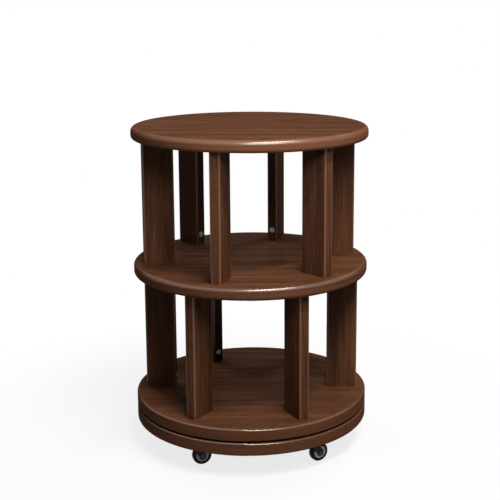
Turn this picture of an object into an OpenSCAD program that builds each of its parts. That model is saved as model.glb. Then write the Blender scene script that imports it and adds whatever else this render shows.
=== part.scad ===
// Revolving bookcase: two open tiers of short radial uprights between round discs,
// turning on a flat ball turntable over a base disc with swivel castors.
// Millimetres. The origin is on the floor, on the axis the bookcase turns about.
// The front of the bookcase looks along -Y, and angles run anticlockwise from +X.

/* [Discs] */
// Diameter of all four round discs
disc_d = 500; // [460:5:640]
// Thickness of the top disc, the middle disc and the bottom shelf
disc_t = 26; // [24:1:36]
// Thickness of the base disc
base_t = 27; // [24:1:38]
// Radius of the upper rounding on the rim of the top disc, which is fuller than the others
top_rim_r = 11; // [3:0.5:12.5]
// Radius of the upper rounding on the rim of the middle disc
rim_upper_r = 8; // [3:0.5:12.5]
// Radius of the lower rounding on the rims of the top and middle discs
rim_lower_r = 8; // [2:0.5:11]
// Radius of the eased arrises on the rims of the bottom shelf and the base disc
rim_ease_r = 3; // [1:0.5:8]
// Height of the running gap between the base disc and the bottom shelf
turn_gap = 3.5; // [2.5:0.5:5]

/* [Uprights] */
// Clear height of each tier
tier_h = 263; // [180:1:340]
// Number of uprights in each tier
upright_n = 6; // [4:1:7]
// Radial width of an upright
upright_w = 65; // [50:1:90]
// Thickness of an upright
upright_t = 22; // [19:1:30]
// Distance from the rim of the discs in to the outer edges of the uprights
upright_inset = 20; // [12:0.5:30]
// Radius of the eased long arrises of an upright
upright_ease_r = 2.5; // [1:0.5:4]
// Turn of the upper tier against the lower tier, in degrees
tier_twist = 15; // [12:1:25]

/* [Cam joints and dowels] */
// Diameter of a cam lock
cam_d = 12; // [10:0.5:14]
// Length of a cam lock, along its own axis
cam_l = 13; // [12:0.5:16]
// Distance from the end of an upright to the axis of its cam lock
cam_end = 24; // [20:1:34]
// Distance from the inner edge of an upright in to its bolt
bolt_in = 7; // [6.5:0.5:8]
// Diameter of the bolt's head and of the thread that holds in the disc
bolt_d = 6; // [5:0.5:6.5]
// Length of the bolt's thread in the disc
bolt_thread_l = 10.5; // [8:0.5:11]
// Diameter of a dowel
dowel_d = 8; // [6:0.5:10]
// Length of a dowel
dowel_l = 30; // [24:1:36]
// Depth to which a dowel stands in the disc
dowel_grip = 11; // [8:0.5:11.5]
// Distance from the outer edge of an upright in to its dowel
dowel_in = 16; // [12:1:20]
// Clearance round a fastener in its hole
fastener_gap = 0.15; // [0.1:0.05:0.3]

/* [Turntable] */
// Overall height of the turntable, partly let into the base disc
turntable_h = 8.5; // [8:0.5:10]
// Radius of the circle of the turntable balls
race_r = 136; // [115:1:140]
// Radial width of each turntable ring
ring_w = 14; // [12:0.5:18]
// Radial gap between the two rings, which holds the ball cage
ring_gap = 1.6; // [1.4:0.1:2]
// Running height between a ring and the disc that it doesn't carry
ring_lift = 0.8; // [0.6:0.1:1.2]
// Diameter of a turntable ball
ball_d = 5; // [4:0.1:5]
// Number of turntable balls
ball_n = 30; // [18:1:48]
// Radial thickness of the ball cage
cage_t = 0.8; // [0.6:0.1:1]
// Number of screws in each turntable ring
ring_screw_n = 8; // [6:1:12]
// Clearance of the turntable rings in the pocket of the base disc
pocket_gap = 1.5; // [1:0.5:3]
// Diameter of the hole that gives a screwdriver access to the upper ring
access_d = 12; // [10:0.5:16]

/* [Castors] */
// Height from the floor to the top of the castor plates
castor_h = 52; // [52:1:60]
// Number of castors
castor_n = 5; // [4:1:5]
// Distance from the rim of the base disc in to the castor pivots
pivot_inset = 43; // [38:1:80]
// Direction of the first castor pivot, in degrees
pivot_angle = 237.5; // [228:0.5:248]
// Direction in which the first castor's wheel trails, in degrees
trail_angle = 18; // [0:1:359]
// Step of that direction from one castor to the next, in degrees
trail_step = 12; // [0:1:90]
// Distance of the wheel's axle behind the pivot
trail = 15; // [12:0.5:18]
// Diameter of the tyre
wheel_d = 40; // [36:1:41]
// Width of the tyre
tyre_w = 14; // [12:0.5:16]
// Radius of the rounding of the tyre's shoulders
shoulder_r = 4; // [1:0.5:5]
// Thickness of the tyre
tyre_t = 7; // [4:0.5:7.5]
// Side length of the square castor plate
plate_w = 42; // [40:1:48]
// Thickness of the castor plate
plate_t = 2; // [1.5:0.25:3]
// Distance between the screws of a castor plate
plate_pitch = 32; // [31:0.5:36]
// Thickness of the fork's sheet metal
fork_t = 1.8; // [1.5:0.1:2.5]
// Radius of the fork's crown
crown_r = 14; // [13.5:0.5:15]
// Height between the castor plate and the fork's crown, which holds the swivel balls
swivel_space = 4.8; // [4.5:0.1:5.6]
// Gap between the tyre and each leg of the fork
leg_gap = 1.2; // [1:0.1:2]
// Radius of the rounded foot of a fork leg
leg_foot_r = 6.5; // [5.5:0.5:7.5]
// Radius of the circle of the swivel balls
swivel_r = 9.5; // [9:0.25:10]
// Diameter of a swivel ball
swivel_ball_d = 3.2; // [2.4:0.1:3.2]
// Number of balls in each swivel
swivel_ball_n = 12; // [8:1:14]
// Outer radius of the pressed rings that hold the swivel balls
swivel_ring_r = 12.5; // [12.5:0.5:13]
// Diameter of the kingpin
kingpin_d = 6; // [5:0.5:7]
// Diameter of the kingpin's head
kingpin_head_d = 11; // [9:0.5:12]
// Diameter of the axle rivet
axle_d = 5; // [4:0.5:6]
// Diameter of the axle rivet's heads
axle_head_d = 9.5; // [8:0.5:11]
// Height of the axle rivet's heads
axle_head_h = 1.6; // [1.2:0.1:2]

/* [Screws and running fits] */
// Diameter of the wood screws
screw_d = 4; // [3:0.5:4]
// Depth to which the wood screws go into the wood
screw_grip = 12; // [8:1:13]
// Diameter of a screw's head
screw_head_d = 7.6; // [6.8:0.1:7.6]
// Height of a castor screw's head
screw_head_h = 2.2; // [1.8:0.1:2.4]
// Radial clearance of a shaft in its bore
running_fit = 0.08; // [0.05:0.01:0.1]
// Clearance of a ball in its groove
groove_gap = 0.3; // [0.25:0.05:0.4]

/* [Hidden] */
$fn = 96;
fine_fn = 48;
over = 1;

disc_r = disc_d / 2;
base_z = castor_h;
base_top_z = base_z + base_t;
shelf_z = base_top_z + turn_gap;
lower_z = shelf_z + disc_t;
middle_z = lower_z + tier_h;
upper_z = middle_z + disc_t;
top_z = upper_z + tier_h;

upright_r = disc_r - upright_inset - upright_w / 2;
upright_step = 360 / upright_n;
bolt_r = upright_r - upright_w / 2 + bolt_in;
dowel_r = upright_r + upright_w / 2 - dowel_in;
bolt_thread_h = 0.25;
bolt_shaft_d = bolt_d - 2 * bolt_thread_h;
bolt_neck_depth = 1.25;
bolt_neck_d = bolt_d - 2 * bolt_neck_depth;
bolt_neck_l = 3;
bolt_head_h = 3;
bolt_head_gap = 0.6;
cam_recess_d = bolt_d + 2 * bolt_head_gap;
cam_cross_w = 1.6;
cam_cross_l = 7;
cam_cross_depth = 2;
dowel_chamfer = 1;
end_relief = 0.5;

pocket_z = shelf_z - turntable_h;
lower_ring_r = race_r - ring_gap / 2;
upper_ring_r = race_r + ring_gap / 2;
lower_screw_r = lower_ring_r - ring_w / 2;
upper_screw_r = upper_ring_r + ring_w / 2;
ball_z = pocket_z + turntable_h / 2;
ring_h = turntable_h - ring_lift;
cage_edge = 1;
cage_h = ball_d + 2 * cage_edge;
cage_gap = 0.15;
countersink_h = (screw_head_d - screw_d) / 2;
head_drop = 0.2;
screw_cross_w = 1;
screw_cross_l = 4.2;
screw_cross_depth = 1.4;
access_angle = pivot_angle + 180 / castor_n;

pivot_r = disc_r - pivot_inset;
wheel_r = wheel_d / 2;
plate_z = castor_h - plate_t;
plate_corner_r = 4;
crown_z = plate_z - swivel_space - fork_t;
crown_top_z = crown_z + fork_t;
ball_level_z = (crown_top_z + plate_z) / 2;
swivel_ring_gap = 0.9;
swivel_ring_h = (swivel_space - swivel_ring_gap) / 2;
leg_y = tyre_w / 2 + leg_gap;
leg_set_in = 0.4;
leg_top_x = sqrt(pow(crown_r, 2) - pow(leg_y + fork_t, 2)) - leg_set_in;
leg_edge_gap = 0.05;
leg_edge_r = leg_foot_r - leg_edge_gap;
kingpin_head_h = 1.8;
kingpin_head_gap = 0.3;
kingpin_flare_h = 1;
kingpin_flare_d = kingpin_d + 2 * kingpin_flare_h;
core_r = wheel_r - tyre_t;
core_w = tyre_w - 1;
core_rim_t = 3.5;
core_rim_r = core_r - core_rim_t;
core_web_t = 5;
boss_t = 2.5;
boss_r = axle_d / 2 + boss_t;
boss_w = tyre_w + leg_gap;
tyre_seat = 0.05;
dimple_rim = 0.75;
dimple_d = axle_d - 2 * dimple_rim;
dimple_depth = 0.8;

wood = [0.27, 0.17, 0.11];
wood_light = [0.76, 0.62, 0.43];
steel = [0.70, 0.70, 0.71];
alloy = [0.80, 0.81, 0.83];
black = [0.06, 0.06, 0.07];
grey = [0.58, 0.58, 0.57];
rubber = [0.03, 0.03, 0.03];
nylon = [0.90, 0.88, 0.82];

// Placing

function lower_turn(i) = (i - 1) * upright_step;
function upper_turn(i) = (i - 1) * upright_step + tier_twist;
function pivot_turn(i) = pivot_angle + (i - 1) * 360 / castor_n;
function trail_turn(i) = trail_angle + (i - 1) * trail_step;

module around(turn, r, z = 0) {
    rotate(turn) translate([r, 0, z]) children();
}

// Stands its children at both ends of every upright of both tiers, +Z into the upright.
module every_joint(r) {
    for (i = [1 : upright_n]) {
        around(lower_turn(i), r, lower_z) children();
        around(lower_turn(i), r, middle_z) mirror([0, 0, 1]) children();
        around(upper_turn(i), r, upper_z) children();
        around(upper_turn(i), r, top_z) mirror([0, 0, 1]) children();
    }
}

// The castor's own frame: the pivot is the Z axis and the wheel trails along +X.
module castor_frame(i) {
    around(pivot_turn(i), pivot_r) rotate(trail_turn(i) - pivot_turn(i)) children();
}

module axle_frame(i) {
    castor_frame(i) translate([trail, 0, wheel_r]) rotate([-90, 0, 0]) children();
}

// Shapes

module rounded_rect(w, h, r) {
    square([w - 2 * r, h], center = true);
    square([w, h - 2 * r], center = true);
    for (x = [-1, 1], y = [-1, 1]) {
        translate([x * (w / 2 - r), y * (h / 2 - r)]) circle(r, $fn = fine_fn);
    }
}

module turned_disc(thickness, upper_r, lower_r) {
    rotate_extrude() {
        square([disc_r - lower_r, thickness - upper_r]);
        translate([0, lower_r]) square([disc_r, thickness - upper_r - lower_r]);
        translate([0, lower_r]) square([disc_r - upper_r, thickness - lower_r]);
        translate([disc_r - upper_r, thickness - upper_r]) circle(upper_r, $fn = fine_fn);
        translate([disc_r - lower_r, lower_r]) circle(lower_r, $fn = fine_fn);
    }
}

module flat_ring(inner_r, outer_r, h) {
    difference() {
        cylinder(r = outer_r, h = h);
        translate([0, 0, -over]) cylinder(r = inner_r, h = h + 2 * over);
    }
}

module torus(r, section_r) {
    rotate_extrude() translate([r, 0]) circle(section_r, $fn = fine_fn);
}

// A domed head that hangs down from its flat side at z = 0
module domed_head(d, h) {
    dome_r = (pow(d / 2, 2) + pow(h, 2)) / (2 * h);
    intersection() {
        translate([0, 0, dome_r - h]) sphere(dome_r, $fn = fine_fn);
        translate([0, 0, -h]) cylinder(d = d + over, h = h);
    }
}

// Two crossed slots, cut down from z = 0
module cross_recess(w, l, depth) {
    for (turn = [0, 90]) rotate(turn) translate([-l / 2, -w / 2, -depth])
        cube([l, w, depth + over]);
}

// Blind holes for the bolts and dowels of one tier, cut upwards from z
module joint_holes(turn) {
    for (i = [1 : upright_n]) {
        around(turn + (i - 1) * upright_step, bolt_r, -over)
            cylinder(d = bolt_d + 2 * fastener_gap, h = bolt_thread_l + end_relief + over, $fn = fine_fn);
        around(turn + (i - 1) * upright_step, dowel_r, -over)
            cylinder(d = dowel_d + 2 * fastener_gap, h = dowel_grip + end_relief + over, $fn = fine_fn);
    }
}

// Pilot holes for the screws of one turntable ring, cut upwards from z
module ring_pilots(r) {
    for (i = [1 : ring_screw_n]) {
        around(i * 360 / ring_screw_n, r, -over)
            cylinder(d = screw_d + 2 * fastener_gap, h = screw_grip + end_relief + over, $fn = fine_fn);
    }
}

module plate_corners(i) {
    around(pivot_turn(i), pivot_r) for (x = [-1, 1], y = [-1, 1]) {
        translate([x * plate_pitch / 2, y * plate_pitch / 2, 0]) children();
    }
}

// Wooden discs

module top_disc() {
    color(wood) difference() {
        translate([0, 0, top_z]) turned_disc(disc_t, top_rim_r, rim_lower_r);
        translate([0, 0, top_z]) joint_holes(tier_twist);
    }
}

module middle_disc() {
    color(wood) difference() {
        translate([0, 0, middle_z]) turned_disc(disc_t, rim_upper_r, rim_lower_r);
        translate([0, 0, middle_z]) joint_holes(0);
        translate([0, 0, upper_z]) mirror([0, 0, 1]) joint_holes(tier_twist);
    }
}

module bottom_shelf() {
    color(wood) difference() {
        translate([0, 0, shelf_z]) turned_disc(disc_t, rim_ease_r, rim_ease_r);
        translate([0, 0, lower_z]) mirror([0, 0, 1]) joint_holes(0);
        translate([0, 0, shelf_z]) ring_pilots(upper_screw_r);
    }
}

module base_disc() {
    color(wood) difference() {
        translate([0, 0, base_z]) turned_disc(base_t, rim_ease_r, rim_ease_r);
        translate([0, 0, pocket_z]) flat_ring(
            lower_ring_r - ring_w - pocket_gap, upper_ring_r + ring_w + pocket_gap, turntable_h);
        translate([0, 0, pocket_z]) mirror([0, 0, 1]) ring_pilots(lower_screw_r);
        around(access_angle, upper_screw_r, base_z - over)
            cylinder(d = access_d, h = base_t + 2 * over, $fn = fine_fn);
        for (i = [1 : castor_n]) plate_corners(i) translate([0, 0, base_z - over])
            cylinder(d = screw_d + 2 * fastener_gap, h = screw_grip + end_relief + over, $fn = fine_fn);
    }
}

// Uprights: radial boards, bored at both ends for a cam lock, its bolt and a dowel

module upright(turn, z) {
    color(wood) around(turn, upright_r, z) difference() {
        linear_extrude(tier_h) rounded_rect(upright_w, upright_t, upright_ease_r);
        upright_bores();
        translate([0, 0, tier_h]) mirror([0, 0, 1]) upright_bores();
    }
}

module upright_bores() {
    translate([-upright_w / 2 - over, 0, cam_end]) rotate([0, 90, 0])
        cylinder(d = cam_d + 2 * fastener_gap, h = cam_l + end_relief + over, $fn = fine_fn);
    translate([bolt_in - upright_w / 2, 0, -over])
        cylinder(d = bolt_d + 4 * fastener_gap, h = cam_end + over, $fn = fine_fn);
    translate([upright_w / 2 - dowel_in, 0, -over])
        cylinder(d = dowel_d + 2 * fastener_gap, h = dowel_l - dowel_grip + end_relief + over,
            $fn = fine_fn);
}

// Cam joints: the bolt stands in the disc, and the cam in the upright holds its head

module cam_bolt() {
    neck_z = cam_end - bolt_head_h / 2 - bolt_neck_l;
    translate([0, 0, -bolt_thread_l]) cylinder(d = bolt_d, h = bolt_thread_l, $fn = fine_fn);
    cylinder(d = bolt_shaft_d, h = neck_z, $fn = fine_fn);
    translate([0, 0, neck_z]) cylinder(d = bolt_neck_d, h = bolt_neck_l, $fn = fine_fn);
    translate([0, 0, neck_z + bolt_neck_l]) cylinder(d = bolt_d, h = bolt_head_h, $fn = fine_fn);
}

module cam_bolts() {
    color(steel) every_joint(bolt_r) cam_bolt();
}

module cam_lock() {
    difference() {
        translate([-bolt_in, 0, cam_end]) rotate([0, 90, 0])
            cylinder(d = cam_d, h = cam_l, $fn = fine_fn);
        translate([0, 0, cam_end - cam_d / 2 - over])
            cylinder(d = cam_recess_d, h = cam_d / 2 + bolt_head_h + over, $fn = fine_fn);
        translate([-bolt_in, 0, cam_end]) rotate([0, -90, 0])
            cross_recess(cam_cross_w, cam_cross_l, cam_cross_depth);
    }
}

module cam_locks() {
    color(steel) every_joint(bolt_r) cam_lock();
}

// Both ends of a dowel are chamfered, so that it finds its hole.
module dowel() {
    end_d = dowel_d - 2 * dowel_chamfer;
    cylinder(d1 = end_d, d2 = dowel_d, h = dowel_chamfer, $fn = fine_fn);
    translate([0, 0, dowel_chamfer])
        cylinder(d = dowel_d, h = dowel_l - 2 * dowel_chamfer, $fn = fine_fn);
    translate([0, 0, dowel_l - dowel_chamfer])
        cylinder(d1 = dowel_d, d2 = end_d, h = dowel_chamfer, $fn = fine_fn);
}

module dowels() {
    color(wood_light) every_joint(dowel_r) translate([0, 0, -dowel_grip]) dowel();
}

// Turntable: the lower ring is fixed, the upper ring turns, and the caged balls run between

module ring_screw_sinks(r) {
    for (i = [1 : ring_screw_n]) around(i * 360 / ring_screw_n, r) {
        translate([0, 0, -over])
            cylinder(d = screw_d + 2 * fastener_gap, h = ring_h + 2 * over, $fn = fine_fn);
        translate([0, 0, ring_h - countersink_h - head_drop]) cylinder(
            d1 = screw_d + 2 * fastener_gap, d2 = screw_head_d + 2 * fastener_gap,
            h = countersink_h, $fn = fine_fn);
        translate([0, 0, ring_h - head_drop])
            cylinder(d = screw_head_d + 2 * fastener_gap, h = head_drop + over, $fn = fine_fn);
    }
}

// A countersunk screw whose head ends head_drop below the ring's open face
module ring_screw() {
    head_top = ring_h - head_drop;
    difference() {
        union() {
            translate([0, 0, -screw_grip])
                cylinder(d = screw_d, h = screw_grip + head_top - countersink_h, $fn = fine_fn);
            translate([0, 0, head_top - countersink_h])
                cylinder(d1 = screw_d, d2 = screw_head_d, h = countersink_h, $fn = fine_fn);
        }
        translate([0, 0, head_top]) cross_recess(screw_cross_w, screw_cross_l, screw_cross_depth);
    }
}

module turntable_lower_ring() {
    color(alloy) difference() {
        translate([0, 0, pocket_z]) difference() {
            flat_ring(lower_ring_r - ring_w, lower_ring_r, ring_h);
            ring_screw_sinks(lower_screw_r);
        }
        translate([0, 0, ball_z]) torus(race_r, ball_d / 2 + groove_gap);
    }
}

module turntable_upper_ring() {
    color(alloy) difference() {
        translate([0, 0, shelf_z]) mirror([0, 0, 1]) difference() {
            flat_ring(upper_ring_r, upper_ring_r + ring_w, ring_h);
            ring_screw_sinks(upper_screw_r);
        }
        translate([0, 0, ball_z]) torus(race_r, ball_d / 2 + groove_gap);
    }
}

module ball_cage() {
    color(nylon) difference() {
        translate([0, 0, ball_z - cage_h / 2])
            flat_ring(race_r - cage_t / 2, race_r + cage_t / 2, cage_h);
        for (i = [1 : ball_n]) around(i * 360 / ball_n, race_r, ball_z) rotate([0, 90, 0])
            cylinder(d = ball_d + 2 * cage_gap, h = ball_d, center = true, $fn = fine_fn);
    }
}

module turntable_balls() {
    color(steel) for (i = [1 : ball_n]) around(i * 360 / ball_n, race_r, ball_z)
        sphere(d = ball_d, $fn = fine_fn);
}

module lower_ring_screws() {
    color(steel) for (i = [1 : ring_screw_n]) around(i * 360 / ring_screw_n, lower_screw_r, pocket_z)
        ring_screw();
}

module upper_ring_screws() {
    color(steel) for (i = [1 : ring_screw_n]) around(i * 360 / ring_screw_n, upper_screw_r, shelf_z)
        mirror([0, 0, 1]) ring_screw();
}

// Castors

module castor_plate(i) {
    color(black) difference() {
        around(pivot_turn(i), pivot_r) {
            translate([0, 0, plate_z]) linear_extrude(plate_t)
                rounded_rect(plate_w, plate_w, plate_corner_r);
            translate([0, 0, plate_z - swivel_ring_h])
                cylinder(r = swivel_ring_r, h = swivel_ring_h + plate_t / 2);
        }
        around(pivot_turn(i), pivot_r, ball_level_z) torus(swivel_r, swivel_ball_d / 2 + groove_gap);
        around(pivot_turn(i), pivot_r, crown_z)
            cylinder(d = kingpin_d + 2 * running_fit, h = castor_h, $fn = fine_fn);
        around(pivot_turn(i), pivot_r, castor_h - kingpin_flare_h) cylinder(
            d1 = kingpin_d + 2 * running_fit, d2 = kingpin_flare_d + 2 * running_fit,
            h = kingpin_flare_h, $fn = fine_fn);
        plate_corners(i) translate([0, 0, plate_z - over])
            cylinder(d = screw_d + 4 * fastener_gap, h = plate_t + 2 * over, $fn = fine_fn);
    }
}

module kingpin(i) {
    head_top = crown_z - kingpin_head_gap;
    color(steel) around(pivot_turn(i), pivot_r) {
        translate([0, 0, head_top]) domed_head(kingpin_head_d, kingpin_head_h);
        translate([0, 0, head_top])
            cylinder(d = kingpin_d, h = castor_h - kingpin_flare_h - head_top, $fn = fine_fn);
        translate([0, 0, castor_h - kingpin_flare_h])
            cylinder(d1 = kingpin_d, d2 = kingpin_flare_d, h = kingpin_flare_h, $fn = fine_fn);
    }
}

// Pressed from sheet: a round crown with a raised ball ring, and two legs down to the axle.
module castor_fork(i) {
    color(black) difference() {
        castor_frame(i) {
            translate([0, 0, crown_z]) cylinder(r = crown_r, h = fork_t);
            translate([0, 0, crown_z]) cylinder(r = swivel_ring_r, h = fork_t + swivel_ring_h);
            for (side = [-1, 1]) translate([0, side * (leg_y + fork_t / 2), 0])
                rotate([90, 0, 0]) linear_extrude(fork_t, center = true) leg_outline();
        }
        castor_frame(i) translate([0, 0, ball_level_z]) torus(swivel_r, swivel_ball_d / 2 + groove_gap);
        castor_frame(i) translate([0, 0, crown_z - over])
            cylinder(d = kingpin_d + 2 * running_fit, h = castor_h, $fn = fine_fn);
        axle_frame(i)
            cylinder(d = axle_d + 2 * running_fit, h = 2 * wheel_d, center = true, $fn = fine_fn);
    }
}

// A leg seen from its side: straight edges run from the crown to the round foot at the axle.
// They aim at leg_edge_r, just inside the foot's own radius, so that they cross it cleanly.
module leg_outline() {
    foot = [trail, wheel_r];
    front = [leg_top_x, crown_z + fork_t / 2];
    back = [-leg_top_x, crown_z + fork_t / 2];
    translate(foot) circle(leg_foot_r, $fn = fine_fn);
    polygon([foot, tangent_point(foot, leg_edge_r, front, 1), front, back,
        tangent_point(foot, leg_edge_r, back, -1)]);
}

// Where a line from an outside point touches a circle. Of the two such points, side = 1 gives
// the one clockwise from the outside point, and side = -1 the other.
function tangent_point(centre, r, from, side) =
    let (gap = from - centre, reach = norm(gap), turn = atan2(gap[1], gap[0]) - side * acos(r / reach))
    centre + r * [cos(turn), sin(turn)];

module axle_rivet(i) {
    half = leg_y + fork_t;
    color(steel) axle_frame(i) {
        cylinder(d = axle_d, h = 2 * half, center = true, $fn = fine_fn);
        for (side = [0, 1]) mirror([0, 0, side]) translate([0, 0, half]) difference() {
            cylinder(d1 = axle_head_d, d2 = axle_head_d - axle_head_h, h = axle_head_h, $fn = fine_fn);
            translate([0, 0, axle_head_h - dimple_depth])
                cylinder(d = dimple_d, h = dimple_depth + over, $fn = fine_fn);
        }
    }
}

// Moulded in one piece: a wide rim, a thinner web and a boss that bears on the axle
module wheel_core(i) {
    color(grey) axle_frame(i) rotate_extrude() {
        core_section(axle_d / 2 + running_fit, boss_r, boss_w);
        core_section(axle_d / 2 + running_fit, core_r, core_web_t);
        core_section(core_rim_r, core_r, core_w);
    }
}

module core_section(inner_r, outer_r, width) {
    translate([inner_r, -width / 2]) square([outer_r - inner_r, width]);
}

// The rounded shoulders stop at the seat on the core, however large they are.
module tyre(i) {
    color(rubber) axle_frame(i) rotate_extrude() intersection() {
        core_section(core_r + tyre_seat, wheel_r, tyre_w);
        union() {
            core_section(axle_d, wheel_r - shoulder_r, tyre_w);
            core_section(axle_d, wheel_r, tyre_w - 2 * shoulder_r);
            for (side = [-1, 1])
                translate([wheel_r - shoulder_r, side * (tyre_w / 2 - shoulder_r)])
                    circle(shoulder_r, $fn = fine_fn);
        }
    }
}

module swivel_balls() {
    color(steel) for (i = [1 : castor_n]) around(pivot_turn(i), pivot_r)
        for (j = [1 : swivel_ball_n]) around(j * 360 / swivel_ball_n, swivel_r, ball_level_z)
            sphere(d = swivel_ball_d, $fn = fine_fn);
}

// Round-headed screws that go up through the castor plates into the base disc
module castor_screws() {
    color(steel) for (i = [1 : castor_n]) plate_corners(i) {
        translate([0, 0, plate_z]) difference() {
            domed_head(screw_head_d, screw_head_h);
            translate([0, 0, -screw_head_h]) mirror([0, 0, 1])
                cross_recess(screw_cross_w, screw_cross_l, screw_cross_depth);
        }
        translate([0, 0, plate_z]) cylinder(d = screw_d, h = plate_t + screw_grip, $fn = fine_fn);
    }
}

// One node at a time, or all of them

top_disc();
middle_disc();
bottom_shelf();
base_disc();
for (i = [1 : upright_n]) {
    upright(upper_turn(i), upper_z);
    upright(lower_turn(i), lower_z);
}
cam_locks();
cam_bolts();
dowels();
turntable_lower_ring();
turntable_upper_ring();
ball_cage();
turntable_balls();
lower_ring_screws();
upper_ring_screws();
for (i = [1 : castor_n]) {
    castor_plate(i);
    kingpin(i);
    castor_fork(i);
    axle_rivet(i);
    wheel_core(i);
    tyre(i);
}
swivel_balls();
castor_screws();
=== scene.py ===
"""Dresses the revolving bookcase: satin walnut boards, castors, fittings and a plain studio.

Every size is in metres, in the bookcase's own frame: the floor is z = 0, the bookcase turns
about the Z axis, and its front looks along -Y.
"""

import math

import bpy
import numpy as np
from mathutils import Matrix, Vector


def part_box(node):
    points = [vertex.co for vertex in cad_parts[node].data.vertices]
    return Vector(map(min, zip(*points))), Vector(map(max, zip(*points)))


bl_info = {
    "name": "Revolving bookcase",
    "version": (1, 0, 0),
    "blender": (4, 5, 0),
    "location": "View3D > Sidebar > Bookcase",
    "description": "Finishes the wood, the castors and the fittings of a revolving bookcase",
    "category": "Object",
}

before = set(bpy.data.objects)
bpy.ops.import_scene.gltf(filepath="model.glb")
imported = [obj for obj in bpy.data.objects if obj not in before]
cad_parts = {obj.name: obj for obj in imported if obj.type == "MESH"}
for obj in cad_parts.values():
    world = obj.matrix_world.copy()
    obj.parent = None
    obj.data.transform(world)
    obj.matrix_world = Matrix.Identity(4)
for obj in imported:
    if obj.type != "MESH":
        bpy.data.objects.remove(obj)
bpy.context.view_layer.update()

MM = 0.001
WHITE = (1, 1, 1, 1)
CASTORS = range(1, 1 + sum(n.startswith("tyre_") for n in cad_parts))

# Each disc, with the radius of the rounding along its upper edge, how glossy that rounding is
# and how much its rim is painted lighter, partly as rubbing and partly as painted highlight, most
# on the top disc
DISCS = {
    "top_disc": (11 * MM, 0.65, 0.8),
    "middle_disc": (8 * MM, 0.75, 0.4),
    "bottom_shelf": (3 * MM, 1.0, 0.35),
    "base_disc": (3 * MM, 1.0, 0.3),
}
# The radius of the rounding along the uprights' corners
UPRIGHT_ROUNDING = 2.5 * MM
# How far in from its rim a disc's edge band is fully there
BAND_FULL = 6 * MM
# Where the mask of a rounded edge starts and is full, in radii of the rounding: in from a disc's
# rim, down from its top, and in from an upright's faces
RIM_INWARDS = (0.8, 0.25)
RIM_DOWNWARDS = (1.0, 0.55)
CORNER_INWARDS = (1.8, 0.6)
# How far a rim is turned from the eye where its gloss starts to fade and where it is gone, from
# 0 when it faces the eye to 1 when it is seen edge on
RIM_FADE = (0.05, 0.6)

# The levels of noise that give the darkest and the lightest wood
DARK_BELOW, LIGHT_ABOVE = 0.32, 0.68
# The levels of noise at which a pore starts and is fully open
PORE_STARTS, PORE_OPEN = 0.40, 0.30
# The levels between which nearly all of a noise lies
NOISE_LOW, NOISE_HIGH = 0.3, 0.7
# Polished lacquer has an IOR of about 1.5, and 2.0 gives the rims the strong lights of the photo
LACQUER_IOR = 2.0

# Each light, with the setting that holds its power, its place, the spot that it looks at, its
# width and its height
LIGHTS = {
    "front_softbox": ("front", (0.2, -0.9, 1.1), (0.0, -0.25, 0.65), 0.5, 0.25),
    "strip_light": ("strip", (0.75, -1.2, 2.75), (0.0, -0.2, 0.5), 1.4, 0.06),
    "side_softbox": ("side", (0.9, -1.2, 1.5), (0.0, 0.0, 0.4), 0.5, 0.5),
    "back_left_softbox": ("back", (-1.0, 1.2, 1.4), (0.0, 0.0, 0.35), 0.7, 0.7),
    "back_right_softbox": ("back", (1.0, 1.2, 1.4), (0.0, 0.0, 0.35), 0.7, 0.7),
}
# Half of the side of the floor
FLOOR_HALF = 6.0
# How far from the axis the floor starts to fade to white, and where it is white
FLOOR_FADE = (0.35, 0.9)
# How white the floor is near the bookcase; what is left of it shows the shadow
FLOOR_GLOW = 0.8

# The camera, with its angles in radians, its lens in millimetres and its shift in picture widths
CAMERA_PLACE = (0.0942, -2.2072, 0.9558)
CAMERA_TILT, CAMERA_TURN = 0.1934, 0.0071
CAMERA_LENS, CAMERA_SENSOR = 75.78, 36.0
CAMERA_SHIFT = (-0.0742, -0.10)

# The numbers of a Mix node's inputs and outputs, for numbers, vectors and colours
NUMBER_A, NUMBER_B, VECTOR_A, VECTOR_B, COLOUR_A, COLOUR_B = range(2, 8)
NUMBER_OUT, VECTOR_OUT, COLOUR_OUT = range(3)


def linear(hex_colour):
    """The linear RGBA of an sRGB colour written as six hex digits."""
    srgb = np.array([int(hex_colour[i:i + 2], 16) for i in (0, 2, 4)]) / 255.0
    low, high = srgb / 12.92, ((srgb + 0.055) / 1.055) ** 2.4
    return (*np.where(srgb <= 0.04045, low, high).tolist(), 1.0)


def add(tree, kind, inputs=None, stops=None, **settings):
    """Adds a node. A value in inputs that is a socket is linked, and any other is set.

    inputs go by name or number, and stops are the (place, colour) pairs of a colour ramp.
    """
    node = tree.nodes.new(kind)
    for name, value in settings.items():
        setattr(node, name, value)
    for name, value in (inputs or {}).items():
        if isinstance(value, bpy.types.NodeSocket):
            tree.links.new(value, node.inputs[name])
        else:
            node.inputs[name].default_value = value
    if stops:
        ramp = node.color_ramp
        for i, (place, colour) in enumerate(stops):
            element = ramp.elements[i] if i < 2 else ramp.elements.new(place)
            element.position, element.color = place, colour
    return node


def new_material(name):
    """An empty node material, with its tree and its output node."""
    material = bpy.data.materials.new(name)
    material.use_nodes = True
    tree = material.node_tree
    tree.nodes.clear()
    return material, tree, tree.nodes.new("ShaderNodeOutputMaterial")


def finish_nodes(material, *names):
    """Puts one material on CAD nodes, in place of the one that they came with."""
    for name in names:
        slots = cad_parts[name].data.materials
        slots.clear()
        slots.append(material)


def soft_mask(tree, *bounds):
    """A mask, from 0 to 1, of the places that lie past every bound.

    A bound is a distance, with the two values of it where the mask starts and where it is full.
    """
    mask = 1.0
    for distance, start, full in bounds:
        past = add(tree, "ShaderNodeMapRange",
                   {"Value": distance, "From Min": start, "From Max": full},
                   interpolation_type="SMOOTHSTEP").outputs[0]
        mask = add(tree, "ShaderNodeMath", {0: mask, 1: past}, operation="MULTIPLY").outputs[0]
    return mask


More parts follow.
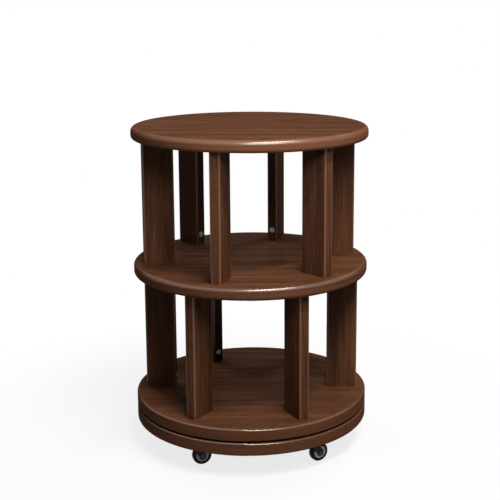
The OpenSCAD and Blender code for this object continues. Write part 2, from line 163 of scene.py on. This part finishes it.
def seen_by_eye(tree):
    """1 for what the eye sees, straight, mirrored or through glass, and 0 for bounced light."""
    path = add(tree, "ShaderNodeLightPath").outputs
    seen = path["Is Camera Ray"]
    for ray in ("Is Glossy Ray", "Is Transmission Ray"):
        seen = add(tree, "ShaderNodeMath", {0: seen, 1: path[ray]}, operation="MAXIMUM").outputs[0]
    return seen


# Materials


def disc_masks(tree, coords, band, middle, half, rounding):
    """A disc's edge band and its rounded upper edge.

    band is the width of the edge band seen from above, middle the disc's height, half its radius
    and half of its thickness, and rounding the radius of its rounded edge.
    """
    radius, thickness = half
    flat = add(tree, "ShaderNodeVectorMath", {0: coords, 1: (1, 1, 0)}, operation="MULTIPLY")
    from_axis = add(tree, "ShaderNodeVectorMath", {0: flat.outputs[0]}, operation="LENGTH")
    from_axis = from_axis.outputs["Value"]
    height = add(tree, "ShaderNodeSeparateXYZ", {0: coords}).outputs["Z"]
    inwards = (radius - share * rounding for share in RIM_INWARDS)
    downwards = (middle + thickness - share * rounding for share in RIM_DOWNWARDS)
    edge_band = soft_mask(tree, (from_axis, radius - band, radius - BAND_FULL))
    rounded = soft_mask(tree, (from_axis, *inwards), (height, *downwards))
    return edge_band, rounded


def corner_mask(tree, own, middle, half, rounding):
    """An upright's four rounded corners, by the distances from its middle to its faces."""
    away = add(tree, "ShaderNodeVectorMath", {0: own, 1: (middle, 0, 0)}, operation="SUBTRACT")
    away = add(tree, "ShaderNodeVectorMath", {0: away.outputs[0]}, operation="ABSOLUTE")
    away = add(tree, "ShaderNodeSeparateXYZ", {0: away.outputs[0]}).outputs
    bounds = ((away[i], *(half[i] - share * rounding for share in CORNER_INWARDS)) for i in (0, 1))
    return soft_mask(tree, *bounds)


def walnut_colour(tree, wood, figure, streak, pore, rubbed_and_highlight_mask, rubbing_and_highlight):
    """Dark to light with the bands and streaks, darker in the pores, and lighter on the rounded
    edges, partly rubbed and partly as painted highlight.
    """
    dark, body, light = (tuple(c) for c in (wood.dark, wood.body, wood.light))
    grey = add(tree, "ShaderNodeMix", {"Factor": 1 - wood.figure, NUMBER_A: figure,
                                       NUMBER_B: streak}).outputs[NUMBER_OUT]
    tone = add(tree, "ShaderNodeValToRGB", {"Fac": grey},
               stops=[(DARK_BELOW, dark), (LIGHT_ABOVE, light), (0.5, body)]).outputs["Color"]
    # The pores are darkened, and the rounded edges are mixed towards the light grain colour, partly
    # as rubbing and partly as painted highlight.
    for mask, strength, colour in ((pore, wood.pore_depth, dark), (rubbed_and_highlight_mask, rubbing_and_highlight, light)):
        share = add(tree, "ShaderNodeMath", {0: mask, 1: strength}, operation="MULTIPLY").outputs[0]
        tone = add(tree, "ShaderNodeMix", {"Factor": share, COLOUR_A: tone, COLOUR_B: colour},
                   data_type="RGBA").outputs[COLOUR_OUT]
    return tone


def walnut(name, wood, run, shift, middle, half, rounding, gloss, rubbing_and_highlight, turn=None):
    """Walnut-stained hardwood under thin satin lacquer, sawn, planed and sanded.

    The eye gets a dark brown with straight low streaks, the light ones a little redder, and short
    open pores. The flat faces are nearly dry, and the rounded edges are painted lighter, partly
    rubbed and partly as painted highlight, with a satin gloss. run is the axis that the grain
    follows, shift picks another part of the tree, rounding is the radius of the rounded edges,
    gloss is how much of them the lacquer covers, and wear is how much lighter they are painted,
    partly rubbed and partly as painted highlight.
    turn is an upright's own angle about Z, middle its distance from the axis, and half is half
    of its width and thickness. Without turn it is a disc: middle is its height, half its radius
    and half of its thickness, and the grain of its edge band follows the circle.
    """
    material, tree, output = new_material(name)
    coords = add(tree, "ShaderNodeTexCoord").outputs["Object"]
    own = add(tree, "ShaderNodeVectorRotate",
              {"Vector": coords, "Angle": -(turn or 0)}, rotation_type="Z_AXIS").outputs[0]
    bend = add(tree, "ShaderNodeTexNoise",
               {"Vector": own, "Scale": 1 / wood.bend_length, "Detail": 1.0}).outputs["Color"]
    wavy = add(tree, "ShaderNodeVectorMath",
               {0: bend, 1: (wood.bend_depth,) * 3, 2: own}, operation="MULTIPLY_ADD").outputs[0]
    if turn is None:
        # The edge band is painted lighter, partly as rubbing and partly as painted highlight, and
        # its grain follows the circle.
        rubbed_and_highlight_mask, edge = disc_masks(tree, coords, wood.band, middle, half, rounding)
        # The satin lacquer of the rim loses its gloss where the eye grazes it.
        facing = add(tree, "ShaderNodeLayerWeight", {"Blend": 0.5}).outputs["Facing"]
        gloss = add(tree, "ShaderNodeMapRange",
                    {"Value": facing, "From Min": RIM_FADE[0], "From Max": RIM_FADE[1],
                     "To Min": gloss, "To Max": 0.0}).outputs[0]
    else:
        # The rounded corners carry the lacquer and are painted lighter, partly as rubbing and
        # partly as painted highlight.
        rubbed_and_highlight_mask = edge = corner_mask(tree, own, middle, half, rounding)

    def grain(width, length):
        """Where a pattern is read that is width across the grain and length along it."""
        scale = [1 / width] * 3
        scale["XYZ".index(run)] = 1 / length
        straight = add(tree, "ShaderNodeMapping",
                       {"Vector": wavy, "Scale": scale,
                        "Location": [s / width for s in shift]}).outputs[0]
        if turn is not None:
            return straight
        # Round the rim X and Y change slowly, so the streaks follow the circle there.
        scale = (1 / length, 1 / length, 1 / width)
        circling = add(tree, "ShaderNodeMapping", {"Vector": coords, "Scale": scale}).outputs[0]
        return add(tree, "ShaderNodeMix",
                   {"Factor": rubbed_and_highlight_mask, VECTOR_A: straight, VECTOR_B: circling},
                   data_type="VECTOR").outputs[VECTOR_OUT]

    figure = add(tree, "ShaderNodeTexNoise",
                 {"Vector": grain(wood.figure_width, wood.figure_length), "Scale": 1.0,
                  "Detail": 2.0, "Distortion": 0.3}).outputs["Fac"]
    streak = add(tree, "ShaderNodeTexNoise",
                 {"Vector": grain(wood.streak_width, wood.streak_length), "Scale": 1.0,
                  "Detail": 4.0, "Roughness": 0.6}).outputs["Fac"]
    speck = add(tree, "ShaderNodeTexNoise",
                {"Vector": grain(wood.pore_width, wood.pore_length), "Scale": 1.0,
                 "Detail": 1.0}).outputs["Fac"]
    pore = add(tree, "ShaderNodeMapRange",
               {"Value": speck, "From Min": PORE_STARTS, "From Max": PORE_OPEN}).outputs[0]
    # The dark streaks are a little rougher than the light ones.
    rough = add(tree, "ShaderNodeMapRange",
                {"Value": streak, "From Min": NOISE_LOW, "From Max": NOISE_HIGH,
                 "To Min": wood.roughness + 0.05, "To Max": wood.roughness - 0.04}).outputs[0]
    lacquer = add(tree, "ShaderNodeMapRange",
                  {"Value": edge, "To Min": wood.coat, "To Max": gloss}).outputs[0]
    # The light streaks stand a little proud, and the pores are dents of 0.6 of that height.
    height = add(tree, "ShaderNodeMath", {0: pore, 1: -0.6, 2: streak},
                 operation="MULTIPLY_ADD").outputs[0]
    bump = add(tree, "ShaderNodeBump",
               {"Height": height, "Strength": 0.3, "Distance": wood.pore_width / 4}).outputs[0]
    shader = add(tree, "ShaderNodeBsdfPrincipled",
                 {"Base Color": walnut_colour(tree, wood, figure, streak, pore, rubbed_and_highlight_mask, rubbing_and_highlight),
                  "Roughness": rough, "Normal": bump, "IOR": 1.5, "Specular IOR Level": 0.0,
                  "Coat Weight": lacquer, "Coat Roughness": wood.coat_roughness,
                  "Coat IOR": LACQUER_IOR})
    tree.links.new(shader.outputs[0], output.inputs["Surface"])
    return material


def speckled(name, colour, roughness, grain, metallic=0.0, depth=0.0, ior=1.5, level=0.5,
             spread=0.06):
    """A plain moulded, plated or painted surface with a fine grain of its own.

    grain is the size in metres of its speckle, which moves the colour and the roughness by
    spread, depth is how far it dents the surface, and level is how strongly it reflects.
    """
    material, tree, output = new_material(name)
    coords = add(tree, "ShaderNodeTexCoord").outputs["Object"]
    noise = add(tree, "ShaderNodeTexNoise",
                {"Vector": coords, "Scale": 1 / grain, "Detail": 3.0}).outputs["Fac"]
    shade = add(tree, "ShaderNodeMapRange",
                {"Value": noise, "From Min": NOISE_LOW, "From Max": NOISE_HIGH,
                 "To Min": 1 - spread, "To Max": 1 + spread}).outputs[0]
    tone = add(tree, "ShaderNodeVectorMath", {0: tuple(colour)[:3], "Scale": shade},
               operation="SCALE").outputs[0]
    rough = add(tree, "ShaderNodeMath", {0: shade, 1: roughness}, operation="MULTIPLY").outputs[0]
    inputs = {"Base Color": tone, "Roughness": rough, "Metallic": metallic}
    if not metallic:
        inputs["IOR"] = ior
        inputs["Specular IOR Level"] = level
    if depth:
        inputs["Normal"] = add(tree, "ShaderNodeBump",
                               {"Height": noise, "Strength": 0.5, "Distance": depth}).outputs[0]
    shader = add(tree, "ShaderNodeBsdfPrincipled", inputs)
    tree.links.new(shader.outputs[0], output.inputs["Surface"])
    return material


# Settings


class WalnutSettings(bpy.types.PropertyGroup):
    dark: bpy.props.FloatVectorProperty(
        name="Dark grain", description="Colour of the pores and the darkest streaks",
        subtype="COLOR", size=4, default=linear("38241a"), min=0, max=1)
    body: bpy.props.FloatVectorProperty(
        name="Wood", description="Colour of most of the wood",
        subtype="COLOR", size=4, default=linear("543727"), min=0, max=1)
    # The light grain colour is also painted on the rounded edges, partly as rubbing and partly as
    # painted highlight.
    light: bpy.props.FloatVectorProperty(
        name="Light grain", description="Colour of the lightest streaks and the worn edges",
        subtype="COLOR", size=4, default=linear("704a36"), min=0, max=1)
    figure_width: bpy.props.FloatProperty(
        name="Figure width", description="Width of the broad light and dark bands",
        unit="LENGTH", default=30 * MM)
    figure_length: bpy.props.FloatProperty(
        name="Figure length", description="Length of the broad bands along the grain",
        unit="LENGTH", default=420 * MM)
    figure: bpy.props.FloatProperty(
        name="Figure strength", description="Share of the broad bands in the light and dark",
        subtype="FACTOR", default=0.4, min=0, max=1)
    streak_width: bpy.props.FloatProperty(
        name="Streak width",
        description="Width of a streak, coarser than the real 1 mm so that it shows",
        unit="LENGTH", default=3 * MM)
    streak_length: bpy.props.FloatProperty(
        name="Streak length", description="Length of a streak along the grain",
        unit="LENGTH", default=130 * MM)
    pore_width: bpy.props.FloatProperty(
        name="Pore width",
        description="Width of a pore, coarser than the real 0.3 mm so that it shows",
        unit="LENGTH", default=0.9 * MM)
    pore_length: bpy.props.FloatProperty(
        name="Pore length", description="Length of a pore along the grain",
        unit="LENGTH", default=14 * MM)
    pore_depth: bpy.props.FloatProperty(
        name="Pore strength", description="How dark the open pores are",
        subtype="FACTOR", default=0.55, min=0, max=1)
    bend_length: bpy.props.FloatProperty(
        name="Bend length", description="Length over which the grain wanders",
        unit="LENGTH", default=260 * MM)
    bend_depth: bpy.props.FloatProperty(
        name="Bend depth", description="How far the grain wanders sideways",
        unit="LENGTH", default=10 * MM)
    roughness: bpy.props.FloatProperty(
        name="Roughness", description="Roughness of the sanded wood under the lacquer",
        subtype="FACTOR", default=0.6, min=0, max=1)
    coat: bpy.props.FloatProperty(
        name="Lacquer", description="How much of the flat faces the lacquer covers",
        subtype="FACTOR", default=0.015, min=0, max=1)
    rim_coat: bpy.props.FloatProperty(
        name="Lacquer on rims", description="Share of the gloss of the discs' rounded edges",
        subtype="FACTOR", default=1.0, min=0, max=1)
    edge_coat: bpy.props.FloatProperty(
        name="Lacquer on edges", description="How much of the uprights' corners the lacquer covers",
        subtype="FACTOR", default=0.2, min=0, max=1)
    # Lightens the discs' rims, partly as rubbing and partly as painted highlight.
    rim_rubbing_and_highlight: bpy.props.FloatProperty(
        name="Rim wear", description="Share of the rims' wear, which lightens the wood there",
        subtype="FACTOR", default=1.0, min=0, max=1)
    # Lightens the uprights' corners, partly as rubbing and partly as painted highlight.
    edge_rubbing_and_highlight: bpy.props.FloatProperty(
        name="Edge wear", description="How much lighter the wood is along the uprights' corners",
        subtype="FACTOR", default=1.0, min=0, max=1)
    band: bpy.props.FloatProperty(
        name="Edge band", description="Width of a disc's edge band, seen from above",
        unit="LENGTH", default=8.5 * MM)
    coat_roughness: bpy.props.FloatProperty(
        name="Lacquer roughness", description="Roughness of the satin lacquer",
        subtype="FACTOR", default=0.25, min=0, max=1)


class FittingSettings(bpy.types.PropertyGroup):
    plated: bpy.props.FloatVectorProperty(
        name="Plated steel", description="Colour of the zinc-plated steel",
        subtype="COLOR", size=4, default=linear("b4b5b8"), min=0, max=1)
    beech: bpy.props.FloatVectorProperty(
        name="Beech", description="Colour of the beech dowels",
        subtype="COLOR", size=4, default=linear("caa77c"), min=0, max=1)
    alloy: bpy.props.FloatVectorProperty(
        name="Aluminium", description="Colour of the turntable's pressed rings",
        subtype="COLOR", size=4, default=linear("c9cbce"), min=0, max=1)
    cage: bpy.props.FloatVectorProperty(
        name="Ball cage", description="Colour of the natural nylon ball cage",
        subtype="COLOR", size=4, default=linear("e4dfd2"), min=0, max=1)


class CastorSettings(bpy.types.PropertyGroup):
    painted: bpy.props.FloatVectorProperty(
        name="Painted steel", description="Colour of the black painted plates and forks",
        subtype="COLOR", size=4, default=linear("060607"), min=0, max=1)
    core: bpy.props.FloatVectorProperty(
        name="Wheel core", description="Colour of the moulded wheel cores",
        subtype="COLOR", size=4, default=linear("e2e1dc"), min=0, max=1)
    tyre: bpy.props.FloatVectorProperty(
        name="Tyre", description="Colour of the rubber tyres",
        subtype="COLOR", size=4, default=linear("080808"), min=0, max=1)
    rivet: bpy.props.FloatVectorProperty(
        name="Rivet", description="Colour of the kingpins and axle rivets",
        subtype="COLOR", size=4, default=linear("38383a"), min=0, max=1)


class StudioSettings(bpy.types.PropertyGroup):
    floor: bpy.props.FloatVectorProperty(
        name="Floor", description="Colour of the floor",
        subtype="COLOR", size=4, default=linear("e9edf2"), min=0, max=1)
    floor_bounce: bpy.props.FloatVectorProperty(
        name="Floor bounce", description="Colour of the light that the floor throws back up",
        subtype="COLOR", size=4, default=linear("909090"), min=0, max=1)
    front: bpy.props.FloatProperty(
        name="Front light", description="Power of the softbox close in front of the top",
        unit="POWER", default=5)
    strip: bpy.props.FloatProperty(
        name="Strip light", description="Power of the thin strip that draws the edges' highlights",
        unit="POWER", default=68)
    warm: bpy.props.FloatVectorProperty(
        name="Strip colour", description="Colour of the strip light, a warm white",
        subtype="COLOR", size=4, default=linear("ffeed8"), min=0, max=1)
    side: bpy.props.FloatProperty(
        name="Side light", description="Power of the softbox at the front right",
        unit="POWER", default=3)
    back: bpy.props.FloatProperty(
        name="Back light", description="Power of each of the two softboxes behind",
        unit="POWER", default=12)
    fill: bpy.props.FloatProperty(
        name="Fill light", description="Strength of the even light from all round", default=0.05)


# Pieces


class BOOKCASE_OT_boards(bpy.types.Operator):
    """Stain and lacquer the discs, and each upright as a board of its own"""

    bl_idname = "bookcase.boards"
    bl_label = "Boards"

    def execute(self, context):
        wood = context.scene.bookcase_walnut
        # Each shift is any place in the tree that no other board has.
        for i, (disc, (rounding, gloss, rubbing_and_highlight)) in enumerate(DISCS.items()):
            low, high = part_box(disc)
            shift = (0.31 * i, 0.17 * i, 0.11 * i)
            half = (high.x, (high.z - low.z) / 2)
            stained = walnut(f"walnut_{disc}", wood, "X", shift, (low.z + high.z) / 2, half,
                             rounding, gloss * wood.rim_coat, rubbing_and_highlight * wood.rim_rubbing_and_highlight)
            finish_nodes(stained, disc)
        for node in sorted(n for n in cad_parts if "_upright_" in n):
            low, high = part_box(node)
            middle = (low + high) / 2
            turn = math.atan2(middle.y, middle.x)
            shift = (0.7 * math.cos(7 * turn) + high.z, 0.9 * math.sin(5 * turn) + high.z,
                     0.37 * turn)
            half = self.half_section(node, turn)
            stained = walnut(f"walnut_{node}", wood, "Z", shift, middle.xy.length, half,
                             UPRIGHT_ROUNDING, wood.edge_coat, wood.edge_rubbing_and_highlight, turn)
            finish_nodes(stained, node)
        return {"FINISHED"}

    def half_section(self, node, turn):
        """Half of an upright's width and thickness, measured in its own directions."""
        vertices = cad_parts[node].data.vertices
        points = np.empty(3 * len(vertices))
        vertices.foreach_get("co", points)
        c, s = math.cos(turn), math.sin(turn)
        section = points.reshape(-1, 3)[:, :2] @ ((c, -s), (s, c))
        return (np.ptp(section, axis=0) / 2).tolist()


class BOOKCASE_OT_fittings(bpy.types.Operator):
    """Finish the cam joints, the dowels and the ball turntable"""

    bl_idname = "bookcase.fittings"
    bl_label = "Fittings"

    def execute(self, context):
        s = context.scene.bookcase_fittings
        # Zinc-plated steel: bright, faintly clouded by the passivated plating
        zinc = speckled("zinc_plated_steel", s.plated, 0.34, 0.8 * MM, metallic=1.0)
        # Turned beech: pale and dry
        beech = speckled("turned_beech", s.beech, 0.62, 1.2 * MM, depth=0.05 * MM)
        # Pressed aluminium: satin, with rolling marks too fine to see
        alloy = speckled("pressed_aluminium", s.alloy, 0.38, 0.6 * MM, metallic=1.0)
        # Natural nylon, moulded: milky and smooth
        nylon = speckled("natural_nylon", s.cage, 0.42, 2 * MM, ior=1.53, spread=0.03)
        finish_nodes(zinc, "cam_locks", "cam_bolts", "turntable_balls", "lower_ring_screws",
                     "upper_ring_screws")
        finish_nodes(beech, "dowels")
        finish_nodes(alloy, "turntable_lower_ring", "turntable_upper_ring")
        finish_nodes(nylon, "ball_cage")
        return {"FINISHED"}


class BOOKCASE_OT_castors(bpy.types.Operator):
    """Finish the castors and their screws"""

    bl_idname = "bookcase.castors"
    bl_label = "Castors"

    def execute(self, context):
        s = context.scene.bookcase_castors
        plated = context.scene.bookcase_fittings.plated
        # Stove paint on pressed steel: deep black, with a weak and slightly uneven sheen
        paint = speckled("black_stove_paint", s.painted, 0.32, 0.5 * MM, depth=0.02 * MM,
                         level=0.12)
        # Moulded polypropylene: pale grey, waxy, faintly mottled
        core = speckled("moulded_polypropylene", s.core, 0.38, 1.5 * MM, ior=1.49, spread=0.05)
        # Moulded rubber: black, with a dry sheen and a fine tooth
        rubber = speckled("moulded_rubber", s.tyre, 0.60, 0.4 * MM, depth=0.04 * MM, level=0.12)
        # Steel rivets and pins, dulled by handling: dark grey, with a broad soft gleam
        rivet = speckled("dull_rivet_steel", s.rivet, 0.45, 0.6 * MM, metallic=1.0)
        # Plated screws and balls: bright steel, a little clouded
        zinc = speckled("plated_castor_steel", plated, 0.28, 0.6 * MM, metallic=1.0)
        for i in CASTORS:
            finish_nodes(paint, f"castor_plate_{i}", f"castor_fork_{i}")
            finish_nodes(rivet, f"kingpin_{i}", f"axle_rivet_{i}")
            finish_nodes(core, f"wheel_core_{i}")
            finish_nodes(rubber, f"tyre_{i}")
        finish_nodes(zinc, "swivel_balls", "castor_screws")
        return {"FINISHED"}


class BOOKCASE_OT_studio(bpy.types.Operator):
    """Set up the floor, the soft lights, the plain background and the camera"""

    bl_idname = "bookcase.studio"
    bl_label = "Studio"

    def execute(self, context):
        s = context.scene.bookcase_studio
        scene = context.scene
        scene.view_settings.view_transform = "Standard"
        self.floor(scene, s)
        self.background(scene, s)
        for name, (setting, place, target, width, height) in LIGHTS.items():
            colour = s.warm if setting == "strip" else WHITE
            self.softbox(scene, name, getattr(s, setting), colour, place, target, width, height)
        self.camera(scene)
        return {"FINISHED"}

    def floor(self, scene, s):
        """A flat square that keeps the shadow and fades to the white background."""
        material, tree, output = new_material("pale_floor")
        coords = add(tree, "ShaderNodeTexCoord").outputs["Object"]
        far = add(tree, "ShaderNodeVectorMath", {0: coords}, operation="LENGTH").outputs["Value"]
        fade = soft_mask(tree, (far, *FLOOR_FADE))
        fade = add(tree, "ShaderNodeMapRange", {"Value": fade, "To Min": FLOOR_GLOW}).outputs[0]
        seen = seen_by_eye(tree)
        white = add(tree, "ShaderNodeMath", {0: seen, 1: fade}, operation="MULTIPLY").outputs[0]
        colour = add(tree, "ShaderNodeMix",
                     {"Factor": seen, COLOUR_A: tuple(s.floor_bounce), COLOUR_B: tuple(s.floor)},
                     data_type="RGBA").outputs[COLOUR_OUT]
        matt = add(tree, "ShaderNodeBsdfDiffuse", {"Color": colour}).outputs[0]
        glow = add(tree, "ShaderNodeEmission", {"Color": WHITE, "Strength": 1.0}).outputs[0]
        mixed = add(tree, "ShaderNodeMixShader", {0: white, 1: matt, 2: glow}).outputs[0]
        tree.links.new(mixed, output.inputs["Surface"])
        mesh = bpy.data.meshes.new("floor")
        corners = [(x * FLOOR_HALF, y * FLOOR_HALF, 0)
                   for x, y in ((-1, -1), (1, -1), (1, 1), (-1, 1))]
        mesh.from_pydata(corners, [], [(0, 1, 2, 3)])
        mesh.materials.append(material)
        floor = bpy.data.objects.new("floor", mesh)
        scene.collection.objects.link(floor)

    def background(self, scene, s):
        """White to the eye and in reflections, and an even soft light to everything else."""
        world = bpy.data.worlds.new("plain_studio")
        scene.world = world
        world.use_nodes = True
        tree = world.node_tree
        tree.nodes.clear()
        strength = add(tree, "ShaderNodeMapRange",
                       {"Value": seen_by_eye(tree), "To Min": s.fill, "To Max": 1.0}).outputs[0]
        sky = add(tree, "ShaderNodeBackground", {"Color": WHITE, "Strength": strength}).outputs[0]
        output = add(tree, "ShaderNodeOutputWorld")
        tree.links.new(sky, output.inputs["Surface"])

    def softbox(self, scene, name, power, colour, place, target, width, height):
        """A rectangular area light at a place, looking at a target."""
        light = bpy.data.lights.new(name, "AREA")
        light.shape = "RECTANGLE"
        light.size, light.size_y, light.energy = width, height, power
        light.color = colour[:3]
        lamp = bpy.data.objects.new(name, light)
        lamp.location = place
        lamp.rotation_euler = (Vector(target) - Vector(place)).to_track_quat("-Z", "Y").to_euler()
        scene.collection.objects.link(lamp)

    def camera(self, scene):
        """A 76 mm lens 2.2 m in front, a little to the right and above the top, looking down."""
        lens = bpy.data.cameras.new("camera")
        lens.lens, lens.sensor_width = CAMERA_LENS, CAMERA_SENSOR
        lens.shift_x, lens.shift_y = CAMERA_SHIFT
        camera = bpy.data.objects.new("camera", lens)
        camera.location = CAMERA_PLACE
        camera.rotation_euler = (math.pi / 2 - CAMERA_TILT, 0.0, CAMERA_TURN)
        scene.collection.objects.link(camera)
        scene.camera = camera


class BOOKCASE_PT_panel(bpy.types.Panel):
    """The bookcase's settings and steps"""

    bl_label = "Revolving bookcase"
    bl_space_type = "VIEW_3D"
    bl_region_type = "UI"
    bl_category = "Bookcase"

    def draw(self, context):
        for group, (_, step) in GROUPS.items():
            box = self.layout.box()
            settings = getattr(context.scene, group)
            for name in settings.bl_rna.properties.keys():
                if name not in ("rna_type", "name"):
                    box.prop(settings, name)
            box.operator(step)


# Each group of settings, with its class and the step that uses it
GROUPS = {
    "bookcase_walnut": (WalnutSettings, "bookcase.boards"),
    "bookcase_fittings": (FittingSettings, "bookcase.fittings"),
    "bookcase_castors": (CastorSettings, "bookcase.castors"),
    "bookcase_studio": (StudioSettings, "bookcase.studio"),
}
CLASSES = (
    *(settings for settings, step in GROUPS.values()), BOOKCASE_OT_boards, BOOKCASE_OT_fittings,
    BOOKCASE_OT_castors, BOOKCASE_OT_studio, BOOKCASE_PT_panel,
)


def register():
    for cls in CLASSES:
        bpy.utils.register_class(cls)
    for name, (settings, step) in GROUPS.items():
        setattr(bpy.types.Scene, name, bpy.props.PointerProperty(type=settings))


def unregister():
    for name in GROUPS:
        delattr(bpy.types.Scene, name)
    for cls in reversed(CLASSES):
        bpy.utils.unregister_class(cls)


def main():
    register()
    bpy.ops.bookcase.boards()
    bpy.ops.bookcase.fittings()
    bpy.ops.bookcase.castors()
    bpy.ops.bookcase.studio()


if __name__ == "__main__":
    main()
